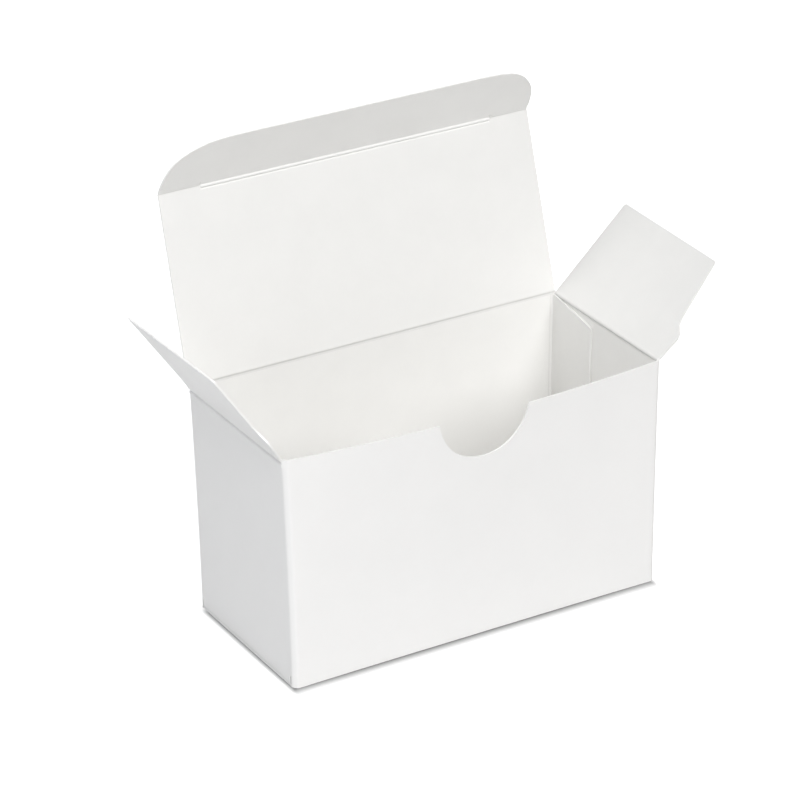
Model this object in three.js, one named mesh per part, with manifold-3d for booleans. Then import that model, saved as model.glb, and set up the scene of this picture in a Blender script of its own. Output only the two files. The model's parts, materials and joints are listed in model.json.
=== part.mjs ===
// Business card carton: one die-cut, creased and glued sheet of white board, standing open.
// The glued sleeve carries the folded-in bottom dust flaps. The top lid, the tuck flap at its
// end, the two top dust flaps and the tucked-in bottom lid turn on their creases.
// Millimetres, +Z up. The origin is the middle of the footprint, on the table.

import * as THREE from 'three';
import { mergeVertices } from 'three/addons/utils/BufferGeometryUtils.js';
import Module from 'manifold-3d';

// Outside of the closed carton
const length = 92.4;
const width = 42.8;
const height = 54;

// The sheet, its folds and the clearances that the cutting die leaves
const board = 0.42;
const foldRadius = 0.9;
const creaseGap = 0.3;
const flapClearance = 0.15;
const tuckClearance = 0.2;
const lidSideInset = 0.25;
const tuckSideInset = 0.25;

// Outward belly of the front wall at its free top edge, fading to nothing at the bottom
const frontBow = 2.8;
const bowFade = 1.5;

// Thumb notch in the middle of the front wall's top edge
const notchWidth = 21.6;
const notchDepth = 9.8;

// Tuck flaps: rounded shoulders, and a slit at each end of the crease
const tuckLength = 12.6;
const tuckCornerLength = 11.6;
const tuckCornerDepth = 8.4;
const slitLength = 10;

// Dust flaps: a straight locking shoulder, a 45 degree step and a taper along the front edge
const dustLength = 25.6;
const dustFrontInset = 1.45;
const bottomDustFrontInset = 1.75;
const dustBackInset = 1.1;
const shoulderLength = 7.2;
const shoulderStep = 2.1;
const dustFrontTaper = 2;
const dustBackTaper = 0.9;
const dustCornerRadius = 0.6;

// Glue tab of the back wall, stuck inside the right wall
const tabWidth = 15.6;
const tabTaperLength = 10.6;
const tabTaperDrop = 2;

// Opening of each flap from closed, and the fold of each tuck flap from flat, in degrees
const lidOpening = 107;
const tuckFold = 38;
const leftDustOpening = 126;
const rightDustOpening = 134;
const bottomTuckFold = 98;

// Facets
const rootFacets = 16;
const arcSteps = 8;
const notchSteps = 60;
const frontSpans = 28;
const wallSteps = 14;

// Beyond every face that a cutter has to clear
const cutMargin = 2;

// Places worked out from the sizes above
const halfLength = length / 2;
const halfWidth = width / 2;
const flatHalf = halfLength - foldRadius;
const rootReach = board / 2 + creaseGap;
const lidAxisY = halfWidth - board / 2;
const lidAxisZ = height - board / 2;
const lidReach = width - 2 * board - tuckClearance;
const lidHalf = halfLength - lidSideInset;
const lidEnd = lidReach - rootReach;
const tuckHalf = halfLength - board - tuckSideInset;
const creaseHalf = tuckHalf - slitLength;
const dustAxisX = halfLength - board / 2;
const dustAxisZ = lidAxisZ - board - flapClearance;
const sideTop = dustAxisZ - rootReach;
const backTop = lidAxisZ - rootReach;
const backBottom = height - backTop;
const bottomDustUnder = board + creaseGap;
const bottomDustTop = bottomDustUnder + board;
const dustFront = halfWidth - dustFrontInset;
const bottomDustFront = halfWidth - bottomDustFrontInset;
const dustBack = halfWidth - dustBackInset;

const wasm = await Module();
wasm.setup();

function toSolid(geometry) {
  geometry.deleteAttribute('normal');
  geometry.deleteAttribute('uv');
  const merged = mergeVertices(geometry);
  const vertProperties = Float32Array.from(merged.attributes.position.array);
  const triVerts = Uint32Array.from(merged.index.array);
  return new wasm.Manifold(new wasm.Mesh({ numProp: 3, vertProperties, triVerts }));
}

function toGeometry(solid) {
  const { vertProperties, triVerts } = solid.getMesh();
  const geometry = new THREE.BufferGeometry();
  geometry.setAttribute('position', new THREE.BufferAttribute(vertProperties, 3));
  geometry.setIndex(new THREE.BufferAttribute(triVerts, 1));
  geometry.computeVertexNormals();
  return geometry;
}

function block(x0, x1, y0, y1, z0, z1) {
  const geometry = new THREE.BoxGeometry(x1 - x0, y1 - y0, z1 - z0);
  geometry.translate((x0 + x1) / 2, (y0 + y1) / 2, (z0 + z1) / 2);
  return toSolid(geometry);
}

function extrude(shape, depth, curveSegments = arcSteps) {
  return new THREE.ExtrudeGeometry(shape, { depth, bevelEnabled: false, curveSegments });
}

// A shape drawn in X and Z, extruded along Y from y0 to y1
function extrudeAlongY(shape, y0, y1, curveSegments) {
  const geometry = extrude(shape, y1 - y0, curveSegments);
  geometry.rotateX(Math.PI / 2);
  geometry.translate(0, y1, 0);
  return geometry;
}

function polygon(points) {
  return new THREE.Shape(points.map(([x, y]) => new THREE.Vector2(x, y)));
}

// Plan of the four walls at one inset from their outer face, with the front side in short spans
function wallLoop(inset) {
  const radius = foldRadius - inset;
  const corners = [
    { x: flatHalf, y: -halfWidth + foldRadius, from: -90 },
    { x: flatHalf, y: halfWidth - foldRadius, from: 0 },
    { x: -flatHalf, y: halfWidth - foldRadius, from: 90 },
    { x: -flatHalf, y: -halfWidth + foldRadius, from: 180 },
  ];
  const points = [];
  for (const corner of corners) {
    for (let i = 0; i <= arcSteps; i += 1) {
      const angle = THREE.MathUtils.degToRad(corner.from + (90 * i) / arcSteps);
      points.push(new THREE.Vector2(corner.x + radius * Math.cos(angle), corner.y + radius * Math.sin(angle)));
    }
  }
  for (let i = 1; i < frontSpans; i += 1) {
    const x = -flatHalf + (2 * flatHalf * i) / frontSpans;
    points.push(new THREE.Vector2(x, -halfWidth + inset));
  }
  return points;
}

// How far the front wall stands out: most in the middle of its top edge, nothing at its folds
function belly(x, y, z) {
  if (y > 0 || Math.abs(x) > flatHalf) {
    return 0;
  }
  return frontBow * (1 - (x / flatHalf) ** 2) * (z / height) ** bowFade;
}

// The four walls as one ring of board: rows of points up its outside and inside, faced with quads
function sleeveWalls() {
  const loops = [wallLoop(0), wallLoop(board)];
  const count = loops[0].length;
  const vertices = [];
  const triangles = [];
  const at = (row, loop, i) => (row * 2 + loop) * count + (i % count);
  const quad = (a, b, c, d) => triangles.push(a, b, c, a, c, d);
  for (let row = 0; row <= wallSteps; row += 1) {
    const z = (height * row) / wallSteps;
    for (const point of loops.flat()) {
      vertices.push(point.x, point.y - belly(point.x, point.y, z), z);
    }
  }
  for (let i = 0; i < count; i += 1) {
    for (let row = 0; row < wallSteps; row += 1) {
      quad(at(row, 0, i), at(row, 0, i + 1), at(row + 1, 0, i + 1), at(row + 1, 0, i));
      quad(at(row, 1, i + 1), at(row, 1, i), at(row + 1, 1, i), at(row + 1, 1, i + 1));
    }
    quad(at(wallSteps, 0, i), at(wallSteps, 0, i + 1), at(wallSteps, 1, i + 1), at(wallSteps, 1, i));
    quad(at(0, 0, i + 1), at(0, 0, i), at(0, 1, i), at(0, 1, i + 1));
  }
  const geometry = new THREE.BufferGeometry();
  geometry.setAttribute('position', new THREE.Float32BufferAttribute(vertices, 3));
  geometry.setIndex(triangles);
  return toSolid(geometry);
}

// The notch is the arc through its two top corners and its lowest point
function notchCutter() {
  const half = notchWidth / 2;
  const radius = (half ** 2 + notchDepth ** 2) / (2 * notchDepth);
  const circle = new THREE.Shape();
  circle.absarc(0, height - notchDepth + radius, radius, 0, 2 * Math.PI, false);
  const outside = -halfWidth - frontBow - cutMargin;
  const inside = -halfWidth + board + cutMargin;
  return toSolid(extrudeAlongY(circle, outside, inside, notchSteps));
}

// What the die takes away above and below the side and back walls, where flaps hinge
function edgeCutters() {
  const outX = halfLength + cutMargin;
  const outY = halfWidth + cutMargin;
  const above = height + cutMargin;
  const foldTop = bottomDustUnder + foldRadius;
  const cutters = [
    block(-outX, outX, halfWidth - foldRadius, outY, backTop, above),
    block(-outX, outX, halfWidth - foldRadius, outY, -cutMargin, backBottom),
  ];
  for (const side of [-1, 1]) {
    const [x0, x1] = side > 0 ? [flatHalf, outX] : [-outX, -flatHalf];
    cutters.push(block(x0, x1, -outY, outY, sideTop, above));
    cutters.push(block(x0, x1, -outY, outY, -cutMargin, bottomDustUnder));
    cutters.push(block(x0, x1, -bottomDustFront, dustBack, -cutMargin, foldTop));
  }
  return cutters;
}

// Flat outline of a dust flap: x along the hinge, y outwards. Its front edge lies at reach on
// the +x side for side 1 and on the -x side for side -1.
function dustOutline(side, reach) {
  const stepEnd = reach - shoulderStep;
  const tipFront = stepEnd - dustFrontTaper;
  const tipBack = dustBack - dustBackTaper;
  const shape = new THREE.Shape();
  shape.moveTo(-side * dustBack, 0);
  shape.lineTo(side * reach, 0);
  shape.lineTo(side * reach, shoulderLength);
  shape.lineTo(side * stepEnd, shoulderLength + shoulderStep);
  shape.lineTo(side * tipFront, dustLength - dustCornerRadius);
  shape.quadraticCurveTo(side * tipFront, dustLength, side * (tipFront - dustCornerRadius), dustLength);
  shape.lineTo(-side * (tipBack - dustCornerRadius), dustLength);
  shape.quadraticCurveTo(-side * tipBack, dustLength, -side * tipBack, dustLength - dustCornerRadius);
  return shape;
}

// A bottom dust flap folded in on its side wall, with the round fold that joins them
function foldedBottomDust(side) {
  const sheet = extrude(dustOutline(side, bottomDustFront), board);
  sheet.rotateX(Math.PI);
  sheet.rotateZ(-side * Math.PI / 2);
  sheet.translate(side * dustAxisX, 0, bottomDustTop);
  const foldZone = block(-halfLength - cutMargin, -flatHalf, -halfWidth, halfWidth, 0, bottomDustTop + 1);
  const inFold = side > 0 ? foldZone.mirror([1, 0, 0]) : foldZone;
  const fold = new THREE.Shape();
  const centreZ = bottomDustUnder + foldRadius;
  const [from, to] = side > 0 ? [0, -Math.PI / 2] : [Math.PI, 1.5 * Math.PI];
  fold.absarc(side * flatHalf, centreZ, foldRadius, from, to, side > 0);
  fold.absarc(side * flatHalf, centreZ, foldRadius - board, to, from, side < 0);
  return toSolid(sheet).subtract(inFold).add(toSolid(extrudeAlongY(fold, -bottomDustFront, dustBack)));
}

// Glue tab: it leaves the back wall at the corner and lies flat on the inside of the right wall
function glueTab() {
  const inner = halfWidth - board;
  const free = inner - tabWidth;
  const taperFrom = free + tabTaperLength;
  const low = bottomDustTop + creaseGap;
  const outline = polygon([
    [inner, low],
    [inner, sideTop],
    [taperFrom, sideTop],
    [free, sideTop - tabTaperDrop],
    [free, low + tabTaperDrop],
    [taperFrom, low],
  ]);
  const sheet = extrude(outline, board);
  sheet.rotateX(Math.PI / 2);
  sheet.rotateZ(Math.PI / 2);
  sheet.translate(halfLength - 2 * board, 0, 0);
  return toSolid(sheet);
}

function sleeve() {
  let solid = sleeveWalls().subtract(notchCutter());
  for (const cutter of edgeCutters()) {
    solid = solid.subtract(cutter);
  }
  return solid.add(foldedBottomDust(-1)).add(foldedBottomDust(1)).add(glueTab());
}

// A flat flap in its own frame, its middle plane on z = 0, with a rolled root along the crease
function flap(outline, rootFrom, rootTo) {
  const sheet = extrude(outline, board);
  sheet.translate(0, 0, -board / 2);
  const root = new THREE.CylinderGeometry(board / 2, board / 2, rootTo - rootFrom, rootFacets);
  root.rotateZ(Math.PI / 2);
  root.translate((rootFrom + rootTo) / 2, 0, 0);
  return toSolid(sheet).add(toSolid(root));
}

// The lid's free edge stands at end; between the slits it reaches creaseEnd
function lid(creaseEnd) {
  const outline = polygon([
    [-lidHalf, 0],
    [lidHalf, 0],
    [lidHalf, lidEnd],
    [creaseHalf, lidEnd],
    [creaseHalf, creaseEnd],
    [-creaseHalf, creaseEnd],
    [-creaseHalf, lidEnd],
    [-lidHalf, lidEnd],
  ]);
  return flap(outline, -lidHalf, lidHalf);
}

// Only the middle of a tuck flap is creased to its lid: past the slits its ears are cut free
function tuck() {
  const centreX = tuckHalf - tuckCornerLength;
  const centreY = tuckLength - tuckCornerDepth;
  const shape = new THREE.Shape();
  shape.moveTo(-creaseHalf, 0);
  shape.lineTo(creaseHalf, 0);
  shape.lineTo(creaseHalf, creaseGap);
  shape.lineTo(tuckHalf, creaseGap);
  shape.absellipse(centreX, centreY, tuckCornerLength, tuckCornerDepth, 0, Math.PI / 2, false);
  shape.absellipse(-centreX, centreY, tuckCornerLength, tuckCornerDepth, Math.PI / 2, Math.PI, false);
  shape.lineTo(-tuckHalf, creaseGap);
  shape.lineTo(-creaseHalf, creaseGap);
  return flap(shape, -creaseHalf, creaseHalf);
}

// The bottom lid is one piece with its tuck flap, which stays folded behind the front wall
function bottomLid() {
  const tucked = tuck().rotate([bottomTuckFold, 0, 0]).translate([0, lidReach, 0]);
  return lid(lidReach).add(tucked);
}

// A flap's frame lies on its crease: x along it, y away from the carton when the flap is fully
// open, and the inner face towards +z. Closed is opening 0, level with the top is 180.
function hinge(opening) {
  const group = new THREE.Group();
  group.rotation.x = THREE.MathUtils.degToRad(180 - opening);
  return group;
}

function piece(name, solid, color) {
  const material = new THREE.MeshStandardMaterial({ color, roughness: 0.62, metalness: 0 });
  const mesh = new THREE.Mesh(toGeometry(solid), material);
  mesh.name = name;
  return mesh;
}

function topLid() {
  const frame = new THREE.Group();
  frame.position.set(0, lidAxisY, lidAxisZ);
  const lidHinge = hinge(lidOpening);
  const tuckHinge = new THREE.Group();
  tuckHinge.position.y = lidReach;
  tuckHinge.rotation.x = THREE.MathUtils.degToRad(tuckFold);
  tuckHinge.add(piece('top_tuck_flap', tuck(), 0xd7d6d2));
  lidHinge.add(piece('top_lid', lid(lidEnd), 0xf1f0ee), tuckHinge);
  frame.add(lidHinge);
  return frame;
}

function bottomClosure() {
  const frame = new THREE.Group();
  frame.position.set(0, lidAxisY, board / 2);
  frame.rotation.y = Math.PI;
  const closed = hinge(0);
  closed.add(piece('bottom_lid', bottomLid(), 0xefeeeb));
  frame.add(closed);
  return frame;
}

function dustFlap(name, side, opening) {
  const frame = new THREE.Group();
  frame.position.set(side * dustAxisX, 0, dustAxisZ);
  frame.rotation.z = -side * Math.PI / 2;
  const [rootFrom, rootTo] = side > 0 ? [-dustBack, dustFront] : [-dustFront, dustBack];
  const turning = hinge(opening);
  turning.add(piece(name, flap(dustOutline(side, dustFront), rootFrom, rootTo), 0xebeae6));
  frame.add(turning);
  return frame;
}

const carton = new THREE.Group();
carton.add(piece('carton_sleeve', sleeve(), 0xf1f0ee));
carton.add(topLid());
carton.add(bottomClosure());
carton.add(dustFlap('dust_flap_left', -1, leftDustOpening));
carton.add(dustFlap('dust_flap_right', 1, rightDustOpening));

export default carton;
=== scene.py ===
"""Looks for a tuck top card box of creased white board, standing open on a pale floor."""

import json
import math
from collections import namedtuple

import bpy
import numpy as np
from mathutils import Matrix, Vector


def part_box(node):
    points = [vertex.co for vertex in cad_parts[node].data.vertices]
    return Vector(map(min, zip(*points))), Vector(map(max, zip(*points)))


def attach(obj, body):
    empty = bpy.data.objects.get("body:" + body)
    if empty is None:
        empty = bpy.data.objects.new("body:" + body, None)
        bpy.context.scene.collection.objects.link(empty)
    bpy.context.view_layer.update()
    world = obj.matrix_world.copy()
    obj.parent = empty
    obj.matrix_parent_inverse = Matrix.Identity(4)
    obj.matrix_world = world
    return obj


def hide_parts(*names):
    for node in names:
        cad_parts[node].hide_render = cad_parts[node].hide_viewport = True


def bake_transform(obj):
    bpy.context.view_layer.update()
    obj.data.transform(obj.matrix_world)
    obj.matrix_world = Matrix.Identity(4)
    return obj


bl_info = {
    "name": "Creased Card Box",
    "version": (1, 0, 0),
    "blender": (4, 5, 0),
    "location": "3D View > Sidebar > Card Box",
    "description": "Folds the board of an open card box over its packed frame and sets the studio",
    "category": "Object",
}

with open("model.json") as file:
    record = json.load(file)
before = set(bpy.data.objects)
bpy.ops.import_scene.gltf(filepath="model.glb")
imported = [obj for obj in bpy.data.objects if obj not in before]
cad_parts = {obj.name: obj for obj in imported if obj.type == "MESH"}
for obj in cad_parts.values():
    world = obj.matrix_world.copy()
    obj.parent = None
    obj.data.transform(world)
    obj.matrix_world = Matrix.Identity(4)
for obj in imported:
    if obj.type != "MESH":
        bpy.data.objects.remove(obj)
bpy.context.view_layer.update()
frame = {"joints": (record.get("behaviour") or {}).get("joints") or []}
SLEEVE_LOW, SLEEVE_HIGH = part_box("carton_sleeve")
MM = 0.001
HINGES = {joint["name"]: joint for joint in frame["joints"]}


def hinge_line(name):
    """Place of a hinge line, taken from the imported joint."""
    return Vector(HINGES[name]["pos_m"])


def open_angle(name):
    """How far a hinge stands open at rest, which is its way back to shut."""
    return -math.radians(HINGES[name]["range_deg"][0])


# ---------------- settings


def distance(name, description, default):
    """A length setting in metres."""
    return bpy.props.FloatProperty(
        name=name, description=description, default=default, unit="LENGTH", precision=5
    )


def angle(name, description, degrees):
    """An angle setting given in degrees."""
    return bpy.props.FloatProperty(
        name=name, description=description, default=math.radians(degrees), subtype="ANGLE"
    )


def amount(name, description, default):
    """A plain number setting."""
    return bpy.props.FloatProperty(name=name, description=description, default=default)


def colour(name, description, default):
    """A linear colour setting."""
    return bpy.props.FloatVectorProperty(
        name=name, description=description, default=default, subtype="COLOR", size=3
    )


class CardBoxSizes(bpy.types.PropertyGroup):
    """Sizes of the folded board."""

    board: distance("Board", "Thickness of the board", 0.42 * MM)
    length: distance("Length", "Outside length", SLEEVE_HIGH.x - SLEEVE_LOW.x)
    depth: distance("Depth", "Outside depth at the corners", 2 * SLEEVE_HIGH.y)
    height: distance("Height", "Height of the front wall", SLEEVE_HIGH.z)
    wall_fold: distance("Wall fold", "Radius of the upright folds", 1.15 * MM)
    flap_fold: distance("Flap fold", "Radius of the creases of the flaps", 0.45 * MM)
    foot_in: distance("Foot in", "How far the foot is drawn in at each end", 0.35 * MM)
    flare_left: distance("Flare left", "How far the mouth stands out on the left", 0.78 * MM)
    flare_right: distance("Flare right", "How far the mouth stands out on the right", 0.35 * MM)
    belly: distance("Belly", "How far the top of the front wall bows out", 2.7 * MM)
    left_rise: distance("Left rise", "How much higher the front wall stands on the left", 0.4 * MM)
    belly_fade: amount("Belly fade", "How fast the bow dies out downwards", 1.5)
    notch_width: distance("Notch width", "Width of the thumb notch", 21.6 * MM)
    notch_depth: distance("Notch depth", "Depth of the thumb notch", 9.8 * MM)
    tab_edge: distance("Tab edge", "Where the glue tab ends, from the middle", 5.4 * MM)
    tab_drop: distance("Tab drop", "How far the tab's top falls to its free edge", 2.45 * MM)
    tab_lift: distance("Tab lift", "How far the free edge of the glue tab stands off", 0.12 * MM)
    lid_inset: distance("Lid inset", "How much narrower the lid is at each end", 0.05 * MM)
    tuck_length: distance("Tuck length", "Length of the tuck flap", 12.6 * MM)
    tuck_fold: angle("Tuck fold", "How far the tuck flap is folded", 38)
    slit: distance("Slit", "Length of the slit at each end of the tuck crease", 10 * MM)
    dust_length: distance("Dust flap length", "Length of the dust flaps", 25.6 * MM)
    bead: distance("Bead", "Height of the bead that the crease rule leaves", 0.13 * MM)
    bead_width: distance("Bead width", "Half width of that bead", 0.42 * MM)
    flap_bead: distance("Flap bead", "Height of the bead along a flap's crease", 0.26 * MM)
    flap_bead_width: distance("Flap bead width", "Half width of that bead", 0.27 * MM)
    lid_rise: distance("Lid rise", "Height of the lid's crease over its hinge line", 0.45 * MM)
    dust_rise: distance("Dust flap rise", "Height of its crease over its hinge line", 0.35 * MM)
    foot_arch: distance("Foot arch", "How far the middle of a wall's foot stands off", 0.12 * MM)


class CardBoxFinish(bpy.types.PropertyGroup):
    """Colours and grain of the board, with the painted light and shade of its pieces and creases.
    """

    outside: colour("Outside", "Coated outer face", (0.957, 0.950, 0.939))
    inside: colour("Inside", "Uncoated inner face", (0.890, 0.884, 0.866))
    edge: colour("Cut edge", "Raw edge of the board", (0.945, 0.940, 0.925))
    # The crease colour is also the painted highlight in the glued back corner.
    crease: colour("Crease", "Opened fibres along a crease", (0.930, 0.926, 0.914))
    # Painted light and shade: the same inner face is made lighter on the walls and darker on the
    # lid and dust flaps, standing in for how the light falls on each piece.
    sleeve_painted_light: amount("Sleeve tone", "Lightness of the inner face of the walls", 1.03)
    lid_painted_shade: amount("Lid tone", "Lightness of the inner face of the lid", 0.94)
    tuck_painted_light: amount("Tuck tone", "Lightness of the inner face of the tuck flap", 1.0)
    dust_painted_shade: amount("Dust flap tone", "Lightness of the inner faces of the dust flaps", 0.97)
    # A painted shade: how dark the line painted along the lid and dust flap creases and in the
    # glued back corner is.
    crease_shade_strength: amount("Groove", "How dark the pressed line of a flap's crease is", 0.42)
    mottle: amount("Mottle", "Strength of the cloudy tone of the stock", 0.012)
    fibre: amount("Fibre", "Strength of the fine fibre tone", 0.010)
    tooth: distance("Tooth", "Depth of the surface grain", 0.012 * MM)
    outside_rough: amount("Outside roughness", "Roughness of the outer face", 0.52)
    inside_rough: amount("Inside roughness", "Roughness of the inner face", 0.68)


class CardBoxStudio(bpy.types.PropertyGroup):
    """Camera, lamps and floor."""

    azimuth: angle("Azimuth", "Camera turn about the box", -30.168)
    elevation: angle("Elevation", "Camera height angle", 26.194)
    roll: angle("Roll", "Camera roll", 0.686)
    aim: bpy.props.FloatVectorProperty(
        name="Aim",
        description="Place of the box before the camera: right, down, ahead",
        default=(6.341 * MM, 42.616 * MM, 846.4 * MM),
        size=3,
    )
    focal: amount("Focal", "Focal length in widths of the picture", 3822.4 / 800)
    dome: amount("Dome", "Strength of the even light from all round", 0.11)
    sky: amount("Sky lamp", "Strength of the broad far lamp before and above", 2.08)
    front: amount("Front lamp", "Power of the near panel before the box, in watts", 0.60)
    left: amount("Left lamp", "Power of the near panel on the left, in watts", 0.72)
    back: amount("Back lamp", "Strength of the broad far lamp behind", 0.9)
    side: amount("Side lamp", "Power of the low panel on the left, in watts", 0.68)
    floor_tone: amount("Floor tone", "How much light the floor sends back", 0.50)
    floor_glow: amount("Floor glow", "White that the camera sees in the open floor", 0.66)
    # Painted shadow: the floor is painted grey round the box's foot, down to Contact tone at the
    # box and fading out over Contact front and Contact side.
    contact_painted_shadow: amount("Contact tone", "How much light is left on the floor at the box", 0.28)
    contact_front: distance("Contact front", "Reach of the soft shadow before the box", 5.0 * MM)
    contact_side: distance("Contact side", "Reach of the soft shadow beside the box", 2.1 * MM)


# ---------------- board geometry


def moved(place, heading, length, bend):
    """Where a stretch of that length and bend leads from a place."""
    across, up = place
    if bend == 0:
        return across + length * math.cos(heading), up + length * math.sin(heading)
    turned = heading + length * bend
    return (
        across + (math.sin(turned) - math.sin(heading)) / bend,
        up - (math.cos(turned) - math.cos(heading)) / bend,
    )


class BoardLine:
    """Board seen end on: straight runs and round folds laid one after another."""

    def __init__(self, across, up, heading):
        self.parts = []
        self.place = (across, up)
        self.heading = heading
        self.length = 0.0

    def run(self, length, bend=0.0):
        """Goes straight on, or round with that bend."""
        self.parts.append((self.length, length, self.place, self.heading, bend))
        self.place = moved(self.place, self.heading, length, bend)
        self.heading += length * bend
        self.length += length
        return self

    def fold(self, turn, radius):
        """Turns left by turn, or right where it is negative, on a round of that radius."""
        return self.run(abs(turn) * radius, math.copysign(1 / radius, turn))

    def at(self, s):
        """The point at that length along the line. Beyond an end the line goes straight on."""
        begin, length, place, heading, bend = next(
            (p for p in self.parts if s < p[0] + p[1]), self.parts[-1]
        )
        way = s - begin
        if bend and way > length:
            return moved(self.place, self.heading, way - length, 0.0)
        return moved(place, heading, way, bend if way >= 0 else 0.0)

    def joins(self):
        """The lengths at which one part ends and the next begins."""
        return [part[0] for part in self.parts] + [self.length]


def spread(first, last, step):
    """Even stops from first to last, no further apart than step."""
    count = max(1, math.ceil(abs(last - first) / step - 1e-6))
    return [first + (last - first) * i / count for i in range(count + 1)]


def stops(marks, steps):
    """Stops through all the marks, with one step for each stretch between them."""
    found = [marks[0]]
    for (first, last), step in zip(zip(marks, marks[1:]), steps):
        found += spread(first, last, step)[1:]
    return found


def round_stops(last, reach, count):
    """Stops up to last that lie ever closer, where an end is rounded over that reach."""
    return [last - reach * (1 - math.sin(math.pi / 2 * i / count)) for i in range(count + 1)]


def round_cut(past, reach):
    """How much of its depth a rounded end has lost that far past the start of its reach."""
    share = max(0.0, past) / reach
    return 1 - math.sqrt(max(0.0, 1 - share * share))


class Board:
    """Collects stretches of board of one thickness into one closed mesh."""

    def __init__(self, thickness):
        self.thickness = thickness
        self.points = []
        self.faces = []
        self.kinds = []
        self.folds = []

    def add(self, place, grid, inner=1):
        """Adds one stretch. grid is a list of columns of (a, b), and place(a, b) gives a point
        of the middle of the board and its fold value: how much of a crease is there, where a value
        below nought paints a shade line and, in the glued corner, a lighter value paints a
        highlight.
        inner is the side that the inside of the box lies on."""
        start = len(self.points)
        rows = len(grid[0])
        tiny = 0.002 * MM
        for column in grid:
            for a, b in column:
                point, fold = place(a, b)
                across = place(a + tiny, b)[0] - place(a - tiny, b)[0]
                along = place(a, b + tiny)[0] - place(a, b - tiny)[0]
                normal = across.cross(along).normalized() * inner
                for side in (0.5, -0.5):
                    self.points.append(point + normal * side * self.thickness)
                    self.folds.append(fold)

        def node(c, r, side):
            return start + (c * rows + r) * 2 + side

        last_column = len(grid) - 1
        for c in range(last_column):
            for r in range(rows - 1):
                ring = [(c, r), (c + 1, r), (c + 1, r + 1), (c, r + 1)]
                for side in (0, 1):
                    loop = [node(*corner, side) for corner in ring]
                    flip = (inner > 0) == (side == 1)
                    self.face(loop[::-1] if flip else loop, side)
        rim = (
            [(c, 0) for c in range(last_column)]
            + [(last_column, r) for r in range(rows - 1)]
            + [(c, rows - 1) for c in range(last_column, 0, -1)]
            + [(0, r) for r in range(rows - 1, 0, -1)]
        )
        for one, two in zip(rim, rim[1:] + rim[:1]):
            loop = [node(*one, 0), node(*one, 1), node(*two, 1), node(*two, 0)]
            self.face(loop if inner > 0 else loop[::-1], 2)

    def face(self, loop, kind):
        """Adds one face: kind 0 is the inside, 1 the outside and 2 a cut edge."""
        self.faces.append(loop)
        self.kinds.append(kind)

    def make(self, name, finishes):
        """Turns what was collected into an object with smooth faces and sharp cut edges."""
        mesh = bpy.data.meshes.new(name)
        mesh.from_pydata([tuple(p) for p in self.points], [], self.faces)
        for finish in finishes:
            mesh.materials.append(finish)
        mesh.polygons.foreach_set("material_index", self.kinds)
        mesh.polygons.foreach_set("use_smooth", [True] * len(self.faces))
        rims = set()
        for loop, kind in zip(self.faces, self.kinds):
            if kind == 2:
                for pair in ((0, 1), (1, 2), (2, 3), (3, 0)):
                    rims.add(frozenset((loop[pair[0]], loop[pair[1]])))
        sharp = mesh.attributes.new("sharp_edge", "BOOLEAN", "EDGE")
        marks = [frozenset(edge.vertices) in rims for edge in mesh.edges]
        sharp.data.foreach_set("value", marks)
        # The fold attribute carries the crease colour, the painted shade lines and the painted
        # highlight into the finishes.
        fold = mesh.attributes.new("fold", "FLOAT", "POINT")
        fold.data.foreach_set("value", self.folds)
        mesh.validate()
        mesh.update()
        return put(name, mesh)


def put(name, data):
    """Puts an object into the scene."""
    made = bpy.data.objects.new(name, data)
    bpy.context.scene.collection.objects.link(made)
    return made


def bump_at(offset, height, half_width):
    """Height of a round bead at that distance from its ridge."""
    return height * math.exp(-((offset / half_width) ** 2))


def sizes():
    """The size settings of this scene."""
    return bpy.context.scene.card_box_sizes


def looks():
    """The finish settings of this scene."""
    return bpy.context.scene.card_box_finish


def settle(point):
    """Draws the foot of the box in a little and lets the open mouth stand out."""
    s = sizes()
    up = min(1.0, max(0.0, point.z / s.height))
    share = point.x / (s.length / 2)
    flare = s.flare_right if share > 0 else s.flare_left
    wide = flare * up * up - s.foot_in * (1 - up)
    return Vector((point.x + share * wide, point.y, point.z))


def front_bow(x, z):
    """How far the front wall bows out at that place."""
    s = sizes()
    reach = s.length / 2 - s.wall_fold
    if abs(x) >= reach or z <= 0:
        return 0.0
    fade = min(1.0, z / s.height) ** s.belly_fade
    return s.belly * (1 - (x / reach) ** 2) * fade


def notch_radius():
    """Radius of the thumb notch."""
    half, deep = sizes().notch_width / 2, sizes().notch_depth
    return (half * half + deep * deep) / (2 * deep)


def front_height(x):
    """Top of the front wall at x, which the thumb notch lowers."""
    s = sizes()
    radius = notch_radius()
    edge = s.height + s.left_rise * max(0.0, -2 * x / s.length)
    if abs(x) >= s.notch_width / 2:
        return edge
    return edge + radius - s.notch_depth - math.sqrt(radius * radius - x * x)


TAB_GAP = 0.03 * MM  # from the glue tab to the right wall
TAB_FOLD = 0.45 * MM  # radius of the glue tab's crease
END_GAP = 0.55 * MM  # from the right wall's cut edge to the back wall
TAB_CURL = 3.0 * MM  # stretch of the glue tab that stands off
TAB_RIM = 0.8 * MM  # stretch at its free edge that is pressed back
TAB_PRESS = 1.7  # how far it is pressed back, in tab lifts
CREASE_REACH = 2.5 * MM  # a crease shows no further than this
WALL_CREASE = 1.4  # width of a wall's bead, in bead widths

# The glued crease in the back corner: place past the fold, amount and half width. The groove is a
# relief; the light band is a painted highlight and the dark line a painted shade.
GLUED_GROOVE = (0.85 * MM, 0.05 * MM, 0.18 * MM)
GLUED_PAINTED_HIGHLIGHT = (0.30 * MM, 0.8, 0.30 * MM)
GLUED_PAINTED_SHADE = (0.85 * MM, 0.55, 0.14 * MM)


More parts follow.
